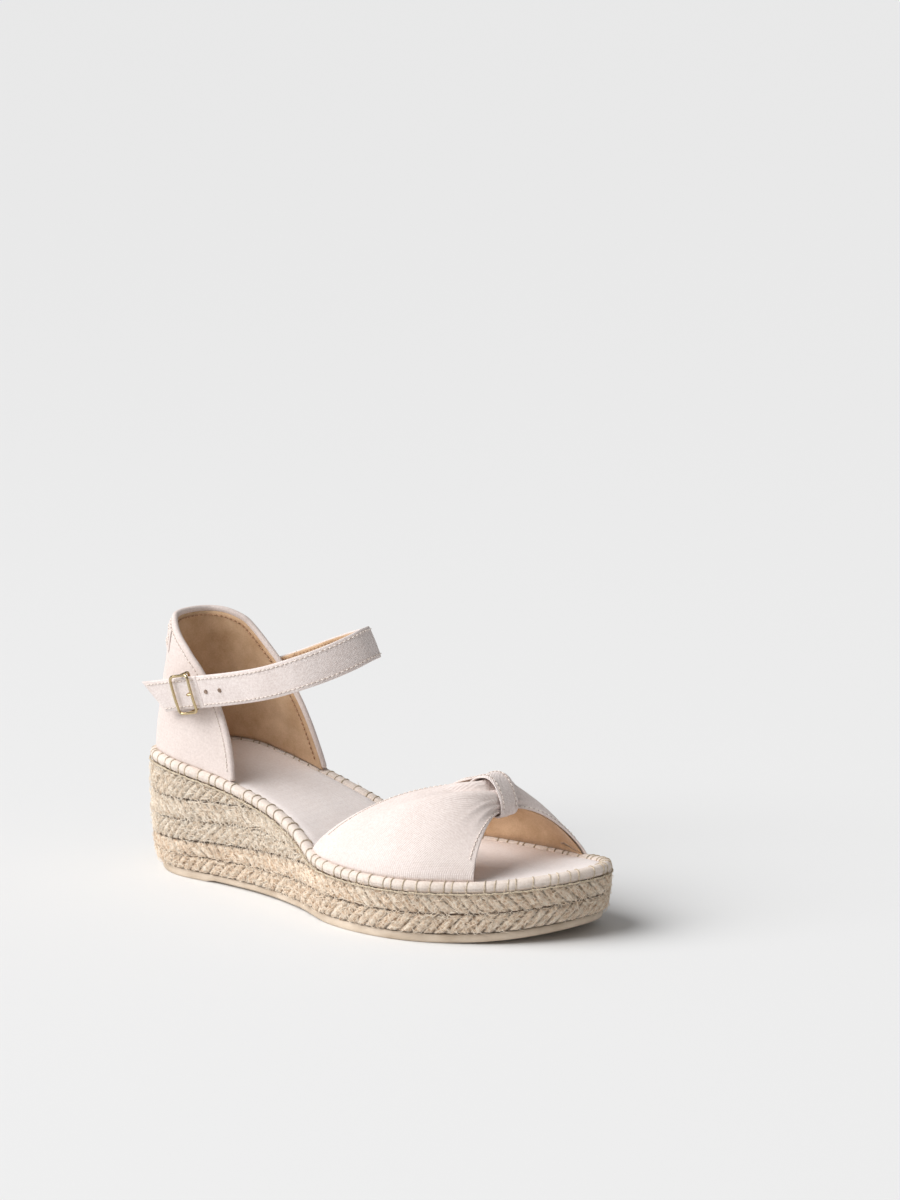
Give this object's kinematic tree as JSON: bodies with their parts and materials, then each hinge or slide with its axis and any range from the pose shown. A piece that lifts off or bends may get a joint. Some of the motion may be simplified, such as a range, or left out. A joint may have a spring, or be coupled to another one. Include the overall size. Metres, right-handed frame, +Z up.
{
  "type": "wedge sandal",
  "caption": "Right-foot wedge sandal: braided jute sole, canvas heel counter, peep-toe vamp gathered by a loop, and an ankle strap with a small buckle.",
  "frame": {"origin": "on the tread, under the heel seat, 30 mm forward of the back of the heel", "axes": "+X to the toe, +Y to the inner side of the foot, +Z up; stands on z = 0"},
  "size_m": [0.2497, 0.0967, 0.1231],
  "materials": {
    "canvas": "fine plain-weave cotton, matt",
    "lining": "smooth tan microsuede",
    "jute": "coarse braided plant fibre",
    "jute_core": "packed fibre, hidden",
    "thread": "waxed linen thread",
    "tape": "woven reinforcing tape, hidden",
    "foam": "thin foam, hidden",
    "board": "pressed fibre board, hidden",
    "rubber": "pale natural rubber, satin",
    "brass": "pale gold plate, polished"
  },
  "bodies": {
    "sole": {"outsole": "rubber", "sole_braid": "jute", "sole_core": "jute_core", "wedge_core": "jute_core", "wedge_braid_lower": "jute", "wedge_braid_upper": "jute", "insole_board": "board", "insole_foam": "foam", "insole_sock": "canvas", "rim_binding": "canvas", "rim_thread": "thread", "counter_canvas": "canvas", "counter_stiffener": "board", "counter_lining": "lining", "heel_patch": "canvas", "vamp_canvas": "canvas", "vamp_lining": "lining", "vamp_loop": "canvas"},
    "strap": {"strap_canvas": "canvas", "strap_tape": "tape", "strap_lining": "lining", "buckle_tab": "canvas"},
    "strap_tip": {"strap_tip_canvas": "canvas", "strap_tip_lining": "lining"},
    "buckle": {"buckle_frame": "brass", "buckle_bar": "brass"},
    "prong": {"buckle_prong": "brass"}
  },
  "joints": [
    {"name": "strap_swing", "type": "hinge", "parent": "sole", "child": "strap", "pos_m": [0.00629, -0.00075, 0.08759], "axis": [-0.3299, -0.9428, -0.048], "range_deg": [-2.5, 18]},
    {"name": "tip_lift", "type": "hinge", "parent": "strap", "child": "strap_tip", "pos_m": [0.00415, -0.03378, 0.08705], "axis": [-0.2195, -0.1541, 0.9634], "range_deg": [0, 35]},
    {"name": "buckle_tilt", "type": "hinge", "parent": "strap", "child": "buckle", "pos_m": [0.01121, -0.02905, 0.08942], "axis": [-0.2195, -0.1541, 0.9634], "range_deg": [-4, 4]},
    {"name": "prong_lift", "type": "hinge", "parent": "buckle", "child": "prong", "pos_m": [0.01121, -0.02905, 0.08942], "axis": [0.2195, 0.1541, -0.9634], "range_deg": [0, 15]}
  ]
}
